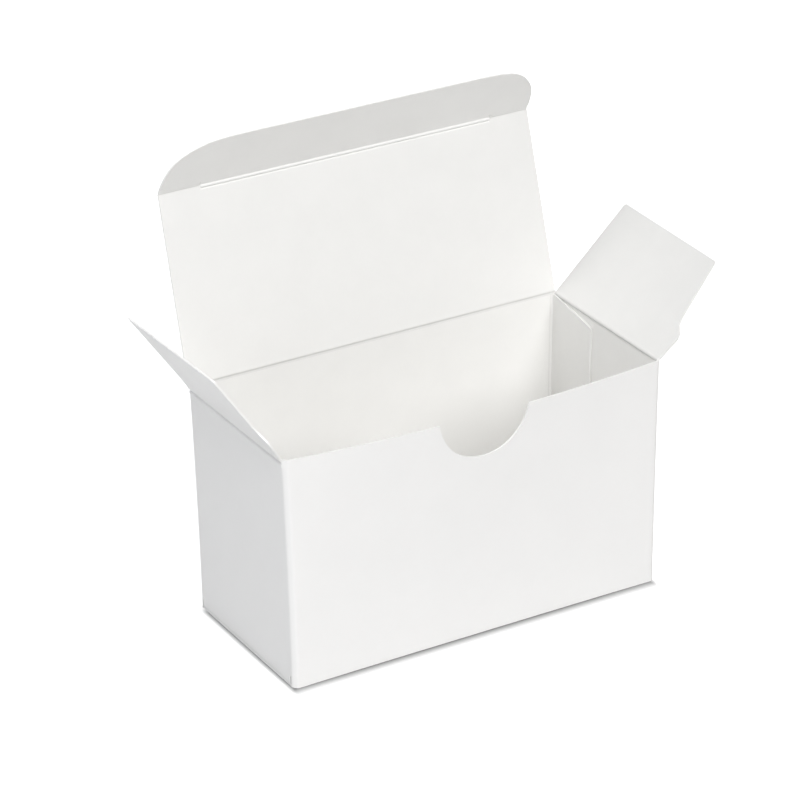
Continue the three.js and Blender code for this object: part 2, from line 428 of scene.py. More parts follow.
class Wrap:
    """The board's way round the box, seen from above, from the glue tab to the last cut edge."""

    def __init__(self):
        s = sizes()
        half_x = s.length / 2 - s.board / 2
        half_y = s.depth / 2 - s.board / 2
        tab_x = half_x - s.board - TAB_GAP
        round_by = s.wall_fold
        quarter = math.pi / 2
        line = BoardLine(tab_x, s.tab_edge, quarter)
        line.run(half_y - TAB_FOLD - s.tab_edge).fold(quarter, TAB_FOLD)
        line.run(tab_x + half_x - TAB_FOLD - round_by).fold(quarter, round_by)
        line.run(2 * (half_y - round_by)).fold(quarter, round_by)
        line.run(2 * (half_x - round_by)).fold(quarter, round_by)
        line.run(2 * half_y - round_by - END_GAP)
        self.line = line
        joins = line.joins()
        names = "tab tab_turn back back_turn left left_turn front right_turn right end".split()
        self.mark = dict(zip(names, joins))
        self.folds = [(joins[turn] + joins[turn + 1]) / 2 for turn in (1, 3, 5, 7)]
        self.front_middle = (self.mark["front"] + self.mark["right_turn"]) / 2

    def point(self, along, z):
        """Middle of the board at that length round the box and that height."""
        s = sizes()
        x, y = self.line.at(along)
        if y < -s.depth / 4 and self.mark["left_turn"] < along < self.mark["right"]:
            y -= front_bow(x, z)
        x -= s.tab_lift * max(0.0, 1 - along / TAB_CURL) ** 2
        x += TAB_PRESS * s.tab_lift * max(0.0, 1 - along / TAB_RIM) ** 2
        near = min(abs(along - fold) for fold in self.folds)
        here = Vector((x, y, z))
        if near > CREASE_REACH:
            return settle(here), 0.0
        tiny = 0.01 * MM
        one, two = self.line.at(along - tiny), self.line.at(along + tiny)
        inward = Vector((one[1] - two[1], two[0] - one[0], 0)).normalized()
        if near == abs(along - self.folds[0]):
            past = along - self.folds[0]
            # The light band is a painted highlight and the dark line a painted shade, carried by
            # the fold value into the board's colour.
            lift, light, dark = (
                bump_at(past - place, amount_of, half_width)
                for place, amount_of, half_width in (GLUED_GROOVE, GLUED_PAINTED_HIGHLIGHT, GLUED_PAINTED_SHADE)
            )
            return settle(here - inward * lift), light - dark
        here += inward * bump_at(near, s.bead, WALL_CREASE * s.bead_width)
        return settle(here), bump_at(near, 1.0, WALL_CREASE * s.bead_width)


def upright(columns, low, high, rows):
    """A grid whose columns run from low to high, each a height or a function of the column."""
    grid = []
    for a in columns:
        one, two = (end(a) if callable(end) else end for end in (low, high))
        grid.append([(a, one + (two - one) * r / rows) for r in range(rows + 1)])
    return grid


# ---------------- finishes


class Tone:
    """A value socket in a finish. Arithmetic on it adds Math nodes."""

    def __init__(self, finish, socket):
        self.finish = finish
        self.socket = socket

    def _math(self, operation, one, two):
        made = self.finish.node("ShaderNodeMath", {0: one, 1: two}, operation=operation)
        return Tone(self.finish, made.outputs[0])

    def __abs__(self):
        return self._math("ABSOLUTE", self, 0.0)

    def __add__(self, other):
        return self._math("ADD", self, other)

    def __radd__(self, other):
        return self._math("ADD", other, self)

    def __sub__(self, other):
        return self._math("SUBTRACT", self, other)

    def __rsub__(self, other):
        return self._math("SUBTRACT", other, self)

    def __mul__(self, other):
        return self._math("MULTIPLY", self, other)

    def __rmul__(self, other):
        return self._math("MULTIPLY", other, self)

    def __pow__(self, other):
        return self._math("POWER", self, other)

    def at_least(self, least):
        """The larger of two values."""
        return self._math("MAXIMUM", self, least)


class Finish:
    """The nodes of a material, or of the world, put together in code."""

    def __init__(self, holder, end="ShaderNodeOutputMaterial"):
        holder.use_nodes = True
        self.tree = holder.node_tree
        self.tree.nodes.clear()
        self.end = self.node(end)

    def show(self, shader):
        """Joins a shader to the output."""
        self.tree.links.new(shader.outputs[0], self.end.inputs[0])

    def node(self, kind, sockets=None, **settings):
        """Adds a node: settings first, and then its sockets, by a value or a link."""
        made = self.tree.nodes.new(kind)
        for key, value in settings.items():
            setattr(made, key, value)
        for key, value in (sockets or {}).items():
            if isinstance(value, Tone):
                value = value.socket
            if isinstance(value, bpy.types.NodeSocket):
                self.tree.links.new(value, made.inputs[key])
            else:
                made.inputs[key].default_value = value
        return made

    def blend(self, factor, one, two, how="MIX"):
        """Mixes two colours by a factor."""
        sockets = {"Factor": factor, "A": one, "B": two}
        made = self.node("ShaderNodeMix", sockets, data_type="RGBA", blend_type=how)
        return made.outputs["Result"]

    def noise(self, where, scale, detail, rough):
        """Cloudy values around 0.5."""
        sockets = {"Vector": where, "Scale": scale, "Detail": detail, "Roughness": rough}
        return Tone(self, self.node("ShaderNodeTexNoise", sockets).outputs[0])

    def where(self):
        """Place on the object."""
        return self.node("ShaderNodeTexCoord").outputs["Object"]

    def grain(self, strength, depth, height):
        """A fine relief for the shader's Normal."""
        sockets = {"Strength": strength, "Distance": depth, "Height": height}
        return self.node("ShaderNodeBump", sockets).outputs[0]

    def surface(self, base, roughness, normal, gloss, index=1.5):
        """Adds the shader, with its varying sockets joined."""
        sockets = {"Base Color": base, "Roughness": roughness, "Normal": normal}
        sockets |= {"Specular IOR Level": gloss, "IOR": index}
        self.show(self.node("ShaderNodeBsdfPrincipled", sockets))


CLOUD_SCALE, FIBRE_SCALE, SPECK_SCALE, EDGE_SCALE = 95.0, 2100.0, 3600.0, 2800.0


def flat_rgba(shade, level_by=1.0):
    """A colour setting as four numbers, made lighter or darker."""
    return tuple(min(1.0, c * level_by) for c in shade) + (1.0,)


def board_finish(name, shade, rough, stretch, coated):
    """One face of the board: cloudy stock, fine fibres, opened fibres along the creases, a painted
    shade line along the flap creases and a painted highlight in the glued corner.
    """
    f = looks()
    material = bpy.data.materials.new(name)
    finish = Finish(material)
    where = finish.where()
    sockets = {"Vector": where, "Scale": stretch}
    grain = finish.node("ShaderNodeMapping", sockets, vector_type="POINT").outputs[0]
    cloud = finish.noise(where, CLOUD_SCALE, 4.0, 0.6)
    fibres = finish.noise(grain, FIBRE_SCALE, 5.0, 0.65)
    specks = finish.noise(where, SPECK_SCALE, 2.0, 0.5)
    fold = finish.node(
        "ShaderNodeAttribute", attribute_name="fold", attribute_type="GEOMETRY"
    )
    fold = Tone(finish, fold.outputs["Fac"])
    stock = finish.blend(
        (cloud - 0.5) * 2.4 + 0.5, flat_rgba(shade, 1 - f.mottle), flat_rgba(shade, 1 + f.mottle)
    )
    fine = finish.blend((fibres - 0.5) * 2.2 + 0.5, (1 - f.fibre,) * 3 + (1,), (1, 1, 1, 1))
    toned = finish.blend(1.0, stock, fine, "MULTIPLY")
    # Opened fibres lighten the creases; in the glued back corner the same lighter crease colour is
    # a painted highlight.
    opened_fibres_and_highlight = fold.at_least(0.0) * 0.55 * (0.7 + fibres * 0.6)
    crease_wear_and_painted_light = finish.blend(opened_fibres_and_highlight, toned, flat_rgba(f.crease))
    # Painted shade: below nought the fold value darkens the colour towards half its shade, a dark
    # line standing in for the shade along a flap's crease and in the glued corner.
    painted_crease_shade = (fold * -1.0).at_least(0.0) * f.crease_shade_strength
    crease_wear_and_painted_light = finish.blend(painted_crease_shade, crease_wear_and_painted_light, flat_rgba(shade, 0.5))
    relief = finish.grain(0.35 if coated else 0.6, f.tooth, fibres * 0.7 + specks * 0.3)
    roughness = rough + (fibres - 0.5) * 0.12 + opened_fibres_and_highlight * 0.18
    finish.surface(crease_wear_and_painted_light, roughness, relief, 0.30 if coated else 0.18, 1.45)
    return material


def edge_finish():
    """The raw cut edge: layered fibres along the board."""
    f = looks()
    material = bpy.data.materials.new("board cut edge")
    finish = Finish(material)
    fibres = finish.noise(finish.where(), EDGE_SCALE, 4.0, 0.6)
    dark, light = flat_rgba(f.edge, 0.975), flat_rgba(f.edge, 1.02)
    shade = finish.blend((fibres - 0.5) * 2 + 0.5, dark, light)
    relief = finish.grain(0.7, f.tooth * 1.5, fibres)
    finish.surface(shade, 0.86 + (fibres - 0.5) * 0.1, relief, 0.1)
    return material


def board_finishes(piece, inside_painted_light=1.0):
    """Inner face, outer face and cut edge of a piece. Only the inner face is its own, and its
    colour is made lighter or darker as painted light and shade for the piece.
    """
    f = looks()
    # Painted light and shade: the inner colour scaled by the piece's factor.
    shade = tuple(c * inside_painted_light for c in f.inside)
    inside = board_finish(f"{piece} inside", shade, f.inside_rough, (1.0, 1.0, 0.35), False)
    shared = [bpy.data.materials.get(n) for n in ("board outside", "board cut edge")]
    if None in shared:
        shared = [
            board_finish("board outside", f.outside, f.outside_rough, (0.6, 0.6, 1.0), True),
            edge_finish(),
        ]
    return [inside] + shared


# ---------------- pieces


# How far from its hinge line each flap's board begins
DUST_SEAM = 0.62 * MM
LID_SEAM = 0.35 * MM
FOOT_SEAM = 0.95 * MM

# Front and back edge of a dust flap, and the rounding of its free corners
DUST_FRONT = -20.35 * MM
DUST_BACK = 21.15 * MM
DUST_CORNER = 0.7 * MM
DUST_EASE = 0.3 * MM  # how far the front edge stands before the outline
DUST_TAPER = 1.35 * MM  # how far the back edge draws in towards the tip
DUST_ROOT = 3 * MM  # stretch over which the root widens
DUST_EARLY = 1.5 * MM  # stretch over which the early lift grows

TAB_BELOW = 0.5 * MM  # from the front wall's top to the glue tab's
TAB_FOOT = 1.5 * MM  # from the floor to the glue tab's free part
SIDE_FOOT = 2.4 * MM  # where a side wall hands over to its inner foot flap
INNER_FLAP = 24 * MM  # length of an inner foot flap
INNER_FLAP_SHOWN = 23.4 * MM
INNER_FLAP_BACK = 19.7 * MM
INNER_FLAP_SAG = 0.70 * MM  # how far its crease lies below its hinge line
INNER_FLAP_FADE = 2.5 * MM  # stretch over which the sag dies out

LID_FOLD = 1.1 * MM  # radius of the lid's crease
LID_SKEW = 0.7 * MM  # how much wider the lid's left side is at its hinge
TUCK_FOLD = 0.62 * MM  # radius of the tuck flap's crease
TUCK_SEAM = 0.9 * MM  # from the tuck flap's crease to where its board begins
TUCK_ROUND = 8.6 * MM  # stretch over which its free end is rounded
EAR = 1.15 * MM  # the lid's board beside each slit
FOOT_TUCK = 11.6 * MM  # length of the bottom lid's tuck, and how far its ends are cut
FOOT_TUCK_ROUND = 8.4 * MM
FOOT_TUCK_INSET = 0.45 * MM
FOOT_TUCK_ANGLE = math.radians(92)
FOOT_NARROW = 1.0 * MM  # how much narrower the bottom lid is at its hinge

# How each dust flap stands: twist at its back and front edge, how far it lifts at once, how
# much its back edge is longer and its front edge shorter, how far its front edge leans
# forward, and how far its root stops short at the back
DustForm = namedtuple("DustForm", "near far early longer shorter forward back_in")
DUST_FORMS = {
    -1: DustForm(
        near=math.radians(1.2),
        far=math.radians(2.6),
        early=0.33 * MM,
        longer=-0.26 * MM,
        shorter=0.29 * MM,
        forward=1.6 * MM,
        back_in=0.8 * MM,
    ),
    1: DustForm(0.0, 0.0, 0.0, longer=-0.2 * MM, shorter=0.9 * MM, forward=0.0, back_in=0.0),
}


def dust_front_edge(out):
    """Front edge of a dust flap at that distance from its crease: the locking shoulder."""
    marks = (
        (0.0, -20.05), (0.9, -20.25), (5.6, -20.95), (6.6, -21.0),
        (7.3, -20.7), (9.3, -18.55), (10.2, -18.15), (25.6, -16.0),
    )
    for (one, y_one), (two, y_two) in zip(marks, marks[1:]):
        if out <= two * MM:
            share = max(0.0, (out / MM - one) / (two - one))
            return (y_one + (y_two - y_one) * share) * MM
    return marks[-1][1] * MM


def dust_grid(reach, front, back, first_rows):
    """Columns across and rows outwards for a dust flap, with its free corners rounded."""
    rows = first_rows + [place * MM for place in (5.6, 6.0, 6.6, 6.95, 7.3, 8.3, 9.3, 9.75)]
    full = reach - DUST_CORNER
    rows += spread(10.2 * MM, full, 2.2 * MM)
    rows += [full + DUST_CORNER * math.sin(t) for t in (0.3, 0.6, 0.9, 1.2, math.pi / 2)]
    grid = [[] for _ in range(15)]
    for out in rows:
        cut = DUST_CORNER * round_cut(out - full, DUST_CORNER)
        one, two = front(out) + cut, back(out) - cut
        for i, column in enumerate(grid):
            column.append((one + (two - one) * i / 14, out))
    return grid


def make_sleeve():
    """The wall wrap with its folds, bowed front, thumb notch, glue tab and inner foot flaps."""
    s = sizes()
    wrap = Wrap()
    board = Board(s.board)
    mark = wrap.mark
    side_top = hinge_line("right_dust_hinge").z - DUST_SEAM
    back_top = hinge_line("lid_hinge").z - LID_SEAM
    back_foot = s.board / 2 + FOOT_SEAM
    near = 0.5 * MM

    def wall(columns, bottom, top, rows=24):
        board.add(wrap.point, upright(columns, bottom, top, rows), -1)

    def tab_top(along):
        return s.height - TAB_BELOW - s.tab_drop * max(0.0, 1 - along / mark["tab_turn"])

    def tab_or_back_top(along):
        return tab_top(along) if along < mark["tab_turn"] else back_top

    front_half = (mark["right_turn"] - mark["front"]) / 2

    def front_foot(along):
        share = (along - wrap.front_middle) / front_half
        return s.foot_arch * max(0.0, 1 - share**4)

    def front_top(along):
        return front_height(along - wrap.front_middle)

    turn = mark["tab_turn"]
    wall(stops([0.0, 2 * near, turn - 5 * near], [0.08 * MM, 1.0 * MM]), TAB_FOOT, tab_top)
    marks = [turn - 5 * near, turn, mark["back"], mark["back"] + 3 * near]
    wall(stops(marks, [0.1 * MM, 0.07 * MM, 0.1 * MM]), 0.0, tab_or_back_top)
    back = spread(mark["back"] + 3 * near, mark["back_turn"] - near, 3.8 * MM)
    wall(back, back_foot, back_top)
    marks = [mark["back_turn"] - near, mark["back_turn"], mark["left"]]
    wall(stops(marks, [0.3 * MM, 0.12 * MM]), 0.0, back_top)
    left_half = (mark["left_turn"] - mark["left"]) / 2
    wall(spread(mark["left"], mark["left_turn"], 2.7 * MM), SIDE_FOOT, side_top)

    edge = 1.2 * MM
    notch_half = s.notch_width / 2
    radius = notch_radius()
    full = math.asin(notch_half / radius)
    first, last = mark["front"] + edge, mark["right_turn"] - edge
    for columns in (
        stops([mark["left_turn"], mark["front"], first], [0.12 * MM, 0.3 * MM]),
        spread(first, wrap.front_middle - notch_half, 1.6 * MM),
        [wrap.front_middle + radius * math.sin(full * i / 32) for i in range(-32, 33)],
        spread(wrap.front_middle + notch_half, last, 1.6 * MM),
        stops([last, mark["right_turn"], mark["right"]], [0.3 * MM, 0.12 * MM]),
    ):
        wall(columns, front_foot, front_top, rows=30)
    right_end = mark["right"] + 2 * left_half
    wall(spread(mark["right"], right_end, 2.7 * MM), SIDE_FOOT, side_top)
    wall([right_end, mark["end"]], 0.0, side_top)

    for side in (-1, 1):
        line = BoardLine(0.0, SIDE_FOOT, -math.pi / 2)
        line.run(SIDE_FOOT - 0.93 * MM - s.flap_fold).fold(-math.pi / 2, s.flap_fold)
        folded = line.length
        line.run(INNER_FLAP)

        def foot(y, along, side=side, line=line, fold_at=folded - s.flap_fold * 0.8):
            across, z = line.at(along)
            sag = INNER_FLAP_SAG - s.foot_arch * max(0.0, 1 - (y / left_half) ** 4)
            past = 1 - (along - fold_at) / INNER_FLAP_FADE
            fade = along / fold_at if along < fold_at else past
            z -= sag * min(1.0, max(0.0, fade))
            x = side * (s.length / 2 - s.board / 2 + across)
            return settle(Vector((x, y, z))), bump_at(along - fold_at, 1.0, s.bead_width)

        first_rows = spread(0, line.joins()[1], 1 * MM)
        first_rows += spread(line.joins()[1], folded, 0.15 * MM)[1:]
        first_rows += spread(folded, folded + 2.4 * MM, 0.6 * MM)[1:]
        grid = dust_grid(
            folded + INNER_FLAP_SHOWN,
            lambda out: dust_front_edge(max(0.0, out - 2.2 * MM)) + 0.35 * MM,
            lambda out: INNER_FLAP_BACK - 0.035 * out,
            first_rows,
        )
        board.add(foot, grid, side)
    piece = board.make("sleeve_wrap", board_finishes("sleeve", looks().sleeve_painted_light))
    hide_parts("carton_sleeve")
    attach(piece, "sleeve")


def lid_line():
    """The lid seen end on, from the top of the back wall to the crease of the tuck flap."""
    s = sizes()
    axis = hinge_line("lid_hinge")
    way = hinge_line("tuck_fold") - axis
    reach = math.hypot(way.y, way.z - s.lid_rise)
    bend = math.pi / 2 - math.atan2(way.z - s.lid_rise, way.y)
    trim = LID_FOLD * math.tan(bend / 2)
    line = BoardLine(axis.y, axis.z - LID_SEAM, math.pi / 2)
    line.run(LID_SEAM + s.lid_rise - trim).fold(-bend, LID_FOLD)
    return line, reach - trim


def make_lid():
    """The lid panel, from the seam on the back wall to the tuck crease and its two slits."""
    s = sizes()
    line, reach = lid_line()
    hinge_at = line.joins()[1]
    folded = line.length
    line.run(reach)
    seam = line.length - TUCK_SEAM
    half = s.length / 2 - s.lid_inset
    open_half = half - s.slit

    def panel(x, along):
        y, z = line.at(along)
        ridge = along - (hinge_at + folded) / 2
        y -= bump_at(ridge, 0.03 * MM, s.flap_bead_width)
        y += bump_at(ridge + 1.2 * s.flap_bead_width, 0.06 * MM, 0.7 * s.flap_bead_width)
        if x < 0:
            x += x / half * LID_SKEW * max(0.0, 1 - along / seam)
        # A painted shade line: the negative fold value darkens the colour just past the lid's
        # crease.
        return Vector((x, y, z)), -bump_at(ridge + 0.2 * MM, 0.8, 0.8 * s.flap_bead_width)

    board = Board(s.board)
    columns = stops([-half, -open_half, open_half, half], [2.0 * MM, 4.0 * MM, 2.0 * MM])
    marks = [0.0, hinge_at - 0.1 * MM, folded + 0.9 * MM, 3.5 * MM, seam]
    along = stops(marks, [0.25 * MM, 0.1 * MM, 0.3 * MM, 2.6 * MM])
    board.add(panel, [[(x, t) for t in along] for x in columns])
    for side in (-1, 1):
        ends = sorted((side * open_half, side * half))
        ear = spread(seam, seam + EAR, 0.3 * MM)
        board.add(panel, [[(x, t) for t in ear] for x in spread(*ends, 2.0 * MM)])
    piece = board.make("lid_panel", board_finishes("lid", looks().lid_painted_shade))
    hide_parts("top_lid")
    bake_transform(piece)


def tuck_outline(out, side):
    """Half width of the tuck flap at that distance from its crease, with its round ends."""
    left = (
        (0.0, 46.05), (0.8, 46.1), (3.0, 45.75), (5.5, 44.95), (8.5, 43.1), (9.8, 41.5),
        (10.9, 39.4), (11.7, 37.3), (12.3, 34.9), (12.6, 32.0), (12.75, 28.5), (12.8, 25.0),
    )
    right = (
        (0.0, 45.95), (0.6, 46.0), (2.4, 46.25), (6.0, 46.0), (7.8, 45.3), (9.2, 44.3),
        (10.4, 43.1), (11.3, 41.7), (12.0, 40.0), (12.4, 38.3), (12.7, 35.6), (12.85, 32.3),
    )
    marks = left if side < 0 else right
    out = min(out / MM, marks[-1][0])
    return float(smooth_between(marks, out)) * MM


def smooth_between(marks, at):
    """A smooth curve through marks of (place, value), read at a place."""
    places = [mark[0] for mark in marks]
    values = [mark[1] for mark in marks]
    slopes = np.gradient(values, places)
    k = min(max(int(np.searchsorted(places, at)) - 1, 0), len(marks) - 2)
    wide = places[k + 1] - places[k]
    u = (at - places[k]) / wide
    return (
        (1 + 2 * u) * (1 - u) ** 2 * values[k]
        + u * (1 - u) ** 2 * wide * slopes[k]
        + u * u * (3 - 2 * u) * values[k + 1]
        + u * u * (u - 1) * wide * slopes[k + 1]
    )


def make_tuck():
    """The tuck flap with its crease, the two slits beside it and its round free ends."""
    s = sizes()
    line, reach = lid_line()
    turn = s.tuck_fold
    trim = TUCK_FOLD * math.tan(turn / 2)
    line.run(reach - trim)
    crease_at = line.length
    line.fold(turn, TUCK_FOLD)
    folded = line.length
    line.run(s.tuck_length - trim)
    middle = (crease_at + folded) / 2
    seam = crease_at + trim - TUCK_SEAM

    def bent(x, along):
        y, z = line.at(along)
        ridge = along - middle
        high = bump_at(ridge, 1.2 * s.flap_bead, s.flap_bead_width)
        low = bump_at(ridge + 1.9 * s.flap_bead_width, 0.5 * s.flap_bead, 0.6 * s.flap_bead_width)
        return Vector((x, y - high + low, z)), bump_at(ridge, 1.0, 1.2 * s.flap_bead_width)

    def flat(x, along):
        y, z = line.at(max(along, folded))
        back = min(0.0, along - folded)
        heading = line.heading
        return Vector((x, y + back * math.cos(heading), z + back * math.sin(heading))), 0.0

    board = Board(s.board)
    open_half = s.length / 2 - s.lid_inset - s.slit
    inner = spread(-open_half, open_half, 4.0 * MM)
    crease_end = folded + 1.0 * MM
    board.add(bent, [[(x, t) for t in spread(seam, crease_end, 0.11 * MM)] for x in inner])
    last = s.tuck_length + middle
    rounded = round_stops(last, TUCK_ROUND, 20)
    rows = spread(crease_end, rounded[0], 1.2 * MM) + rounded[1:]
    grid = []
    for i in range(-44, 45):
        column = []
        for t in rows:
            out = (t - middle) * (12.85 if i > 0 else 12.8) * MM / s.tuck_length
            column.append((i / 44 * tuck_outline(out, i), middle + out))
        grid.append(column)
    board.add(flat, grid)
    root = middle + 0.34 * MM
    for side in (-1, 1):
        full = tuck_outline(0, side) * side
        ends = sorted((side * (open_half + 0.12 * MM), full))
        ear = spread(root, crease_end, 0.4 * MM)
        board.add(flat, [[(x, t) for t in ear] for x in spread(*ends, 2.0 * MM)])
    piece = board.make("tuck_flap_board", board_finishes("tuck flap", looks().tuck_painted_light))
    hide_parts("top_tuck_flap")
    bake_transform(piece)


def make_dust_flap(side):
    """One dust flap with its crease, locking shoulder and rounded free corners."""
    s = sizes()
    name = "right" if side > 0 else "left"
    axis = hinge_line(f"{name}_dust_hinge")
    bend = open_angle(f"{name}_dust_hinge") - math.pi / 2
    radius = s.flap_fold
    trim = radius * math.tan(bend / 2)
    line = BoardLine(0.0, axis.z - DUST_SEAM, math.pi / 2)
    line.run(DUST_SEAM + s.dust_rise - trim)
    crease_at = line.length
    line.fold(-bend, radius)
    folded = line.length
    line.run(s.dust_length - trim)
    middle = (crease_at + folded) / 2

    form = DUST_FORMS[side]
    back_root = DUST_BACK - form.back_in

    def panel(y, out):
        ridge = out - middle
        free = max(0.0, ridge)
        front = min(1.0, max(0.0, (DUST_BACK - y) / (DUST_BACK - DUST_FRONT)))
        stretch = (form.longer * (1 - front) - form.shorter * front) * free / s.dust_length
        across, z = line.at(out + stretch)
        lift = free * (form.near * (1 - front) + form.far * front)
        lift += form.early * (1 - math.exp(-free / DUST_EARLY))
        across -= lift * math.sin(line.heading)
        z += lift * math.cos(line.heading)
        high = bump_at(ridge, s.flap_bead, s.flap_bead_width)
        low = bump_at(ridge + 1.9 * s.flap_bead_width, 0.4 * s.flap_bead, 0.7 * s.flap_bead_width)
        x = side * (abs(axis.x) + across - high + low)
        # A painted shade line: the negative fold value darkens the colour just past the dust
        # flap's crease.
        return settle(Vector((x, y, z))), -bump_at(ridge + 0.1 * MM, 1.0, s.flap_bead_width)

    first = spread(0, crease_at, 0.1 * MM) + spread(crease_at, folded, 0.08 * MM)[1:]
    first += spread(folded, folded + 1.2 * MM, 0.12 * MM)[1:] + [3.5 * MM]

    def front_edge(out):
        free = max(0.0, out - middle)
        return dust_front_edge(free) - DUST_EASE - form.forward * free / s.dust_length

    def back_edge(out):
        free = max(0.0, out - middle)
        root = back_root + form.back_in * min(1.0, free / DUST_ROOT)
        return root - DUST_TAPER * free / s.dust_length

    grid = dust_grid(s.dust_length + middle, front_edge, back_edge, first)
    board = Board(s.board)
    board.add(panel, grid, -side)
    finishes = board_finishes(f"{name} dust flap", looks().dust_painted_shade)
    piece = board.make(f"{name}_dust_flap_board", finishes)
    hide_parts(f"dust_flap_{name}")
    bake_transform(piece)


def make_foot():
    """The bottom lid with its tuck folded up inside the front wall."""
    s = sizes()
    half_y = s.depth / 2 - s.board / 2
    radius = s.flap_fold
    middle_z = s.board / 2
    line = BoardLine(half_y, middle_z + FOOT_SEAM, -math.pi / 2)
    line.run(FOOT_SEAM - radius).fold(-math.pi / 2, radius)
    first_end = line.length
    front_y = -(half_y - s.board - 0.2 * MM)
    line.run(half_y - radius - front_y - radius)
    second = line.length
    line.fold(-FOOT_TUCK_ANGLE, radius)
    second_end = line.length
    line.run(FOOT_TUCK)
    half = s.length / 2 - s.lid_inset

    def panel(x, along):
        y, z = line.at(along)
        near = min(abs(along - first_end + radius), abs(along - second - radius))
        return settle(Vector((x, y, z))), bump_at(near, 1.0, s.bead_width)

    board = Board(s.board)
    marks = [0.0, line.joins()[1], first_end, first_end + 1 * MM, second, second_end]
    rows = stops(marks, [0.2 * MM, 0.12 * MM, 0.5 * MM, 2.6 * MM, 0.12 * MM])
    tip = line.length
    rounded = round_stops(tip, FOOT_TUCK_ROUND, 12)
    rows += spread(second_end, rounded[0], 1.2 * MM)[1:] + rounded[1:]
    grid = []
    for share in [i / 30 for i in range(-30, 31)]:
        column = []
        for t in rows:
            wide = half - FOOT_NARROW * min(1.0, max(0.0, 1 - (t - first_end) / (1.2 * MM)))
            if t > second:
                wide = half - FOOT_TUCK_INSET
            wide -= FOOT_TUCK * round_cut(t - rounded[0], FOOT_TUCK_ROUND)
            column.append((share * wide, t))
        grid.append(column)
    board.add(panel, grid, -1)
    piece = board.make("foot_lid", board_finishes("bottom lid"))
    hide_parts("bottom_lid")
    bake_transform(piece)


# ---------------- studio


def camera_axes(azimuth, elevation, roll):
    """Right, down and ahead of the camera."""
    back = Vector(
        (
            math.sin(azimuth) * math.cos(elevation),
            -math.cos(azimuth) * math.cos(elevation),
            math.sin(elevation),
        )
    )
    ahead = -back
    right = ahead.cross(Vector((0, 0, 1))).normalized()
    down = ahead.cross(right)
    c, s = math.cos(roll), math.sin(roll)
    return c * right + s * down, -s * right + c * down, ahead


def make_camera():
    """The camera, from the angle that the reference was taken."""
    studio = bpy.context.scene.card_box_studio
    right, down, ahead = camera_axes(studio.azimuth, studio.elevation, studio.roll)
    aim = Vector(studio.aim)
    place = -(right * aim.x + down * aim.y + ahead * aim.z)
    data = bpy.data.cameras.new("camera")
    data.sensor_fit = "HORIZONTAL"
    data.sensor_width = 36.0
    data.lens = studio.focal * 36.0
    data.clip_start = 0.05
    data.clip_end = 20.0
    camera = put("camera", data)
    up, back = -down, -ahead
    turn = Matrix((right, up, back)).transposed()
    camera.matrix_world = Matrix.Translation(place) @ turn.to_4x4()
    bpy.context.scene.camera = camera


def make_lamp(name, kind, strength, place, size, tint=(1, 1, 1)):
    """A soft lamp that shines on the box from that place."""
    data = bpy.data.lights.new(name, kind)
    data.energy = strength
    data.color = tint
    if kind == "SUN":
        data.angle = math.radians(size)
    else:
        data.shape = "SQUARE"
        data.size = size
    lamp = put(name, data)
    lamp.location = place
    middle = Vector((0, 0, 45 * MM))
    lamp.rotation_euler = (Vector(place) - middle).to_track_quat("Z", "Y").to_euler()
    lamp.visible_camera = False


FLOOR_REACH = 6.0  # half width of the floor in metres
# FLOOR_LEFT and FLOOR_FRONT shift the rectangle round which the contact shadow is painted.
FLOOR_LEFT = 0.7 * MM  # how far the box's contact lies to the left
FLOOR_FRONT = 2 * MM  # and to the front, where the wall bows out


def make_floor():
    """A pale floor that keeps the shadow of the box and is white where it lies open, with a soft
    contact shadow painted round the box's foot.
    """
    studio = bpy.context.scene.card_box_studio
    s = sizes()
    material = bpy.data.materials.new("pale floor")
    finish = Finish(material)
    path = finish.node("ShaderNodeLightPath")
    seen = Tone(finish, path.outputs["Is Camera Ray"])
    seen = seen + Tone(finish, path.outputs["Is Glossy Ray"])
    seen = seen + Tone(finish, path.outputs["Is Transmission Ray"])
    parts = finish.node("ShaderNodeSeparateXYZ", {0: finish.where()}).outputs
    # A painted shadow: round the box's foot the floor that the camera sees is greyer and glows
    # less, fading out with the distance from the foot.
    half_length = s.length / 2 - s.foot_in - FLOOR_LEFT
    half_depth = s.depth / 2 - FLOOR_FRONT
    beside = abs(Tone(finish, parts[0]) + FLOOR_LEFT) - half_length
    before = abs(Tone(finish, parts[1]) + FLOOR_FRONT) - half_depth
    beside = beside.at_least(0.0) * (1 / studio.contact_side)
    before = before.at_least(0.0) * (1 / studio.contact_front)
    away = (beside * beside + before * before) ** 0.5
    open_floor = 1.0 - (1.0 - away).at_least(0.0) ** 1.15
    glow = open_floor * studio.floor_glow
    white = finish.node("ShaderNodeEmission", {"Strength": seen * glow})
    tone, painted_shadow_grey = ((grey, grey, grey, 1) for grey in (studio.floor_tone, studio.contact_painted_shadow))
    seen_with_painted_shadow = finish.blend(open_floor, painted_shadow_grey, (1, 1, 1, 1))
    grey = finish.node("ShaderNodeBsdfDiffuse", {"Color": finish.blend(seen, tone, seen_with_painted_shadow)})
    sockets = {0: white.outputs[0], 1: grey.outputs[0]}
    finish.show(finish.node("ShaderNodeAddShader", sockets))
    mesh = bpy.data.meshes.new("floor")
    ways = ((-1, -1), (1, -1), (1, 1), (-1, 1))
    corners = [(x * FLOOR_REACH, y * FLOOR_REACH, 0) for x, y in ways]
    mesh.from_pydata(corners, [], [(0, 1, 2, 3)])
    mesh.materials.append(material)
    floor = put("floor", mesh)
    floor.location.z = -0.02 * MM


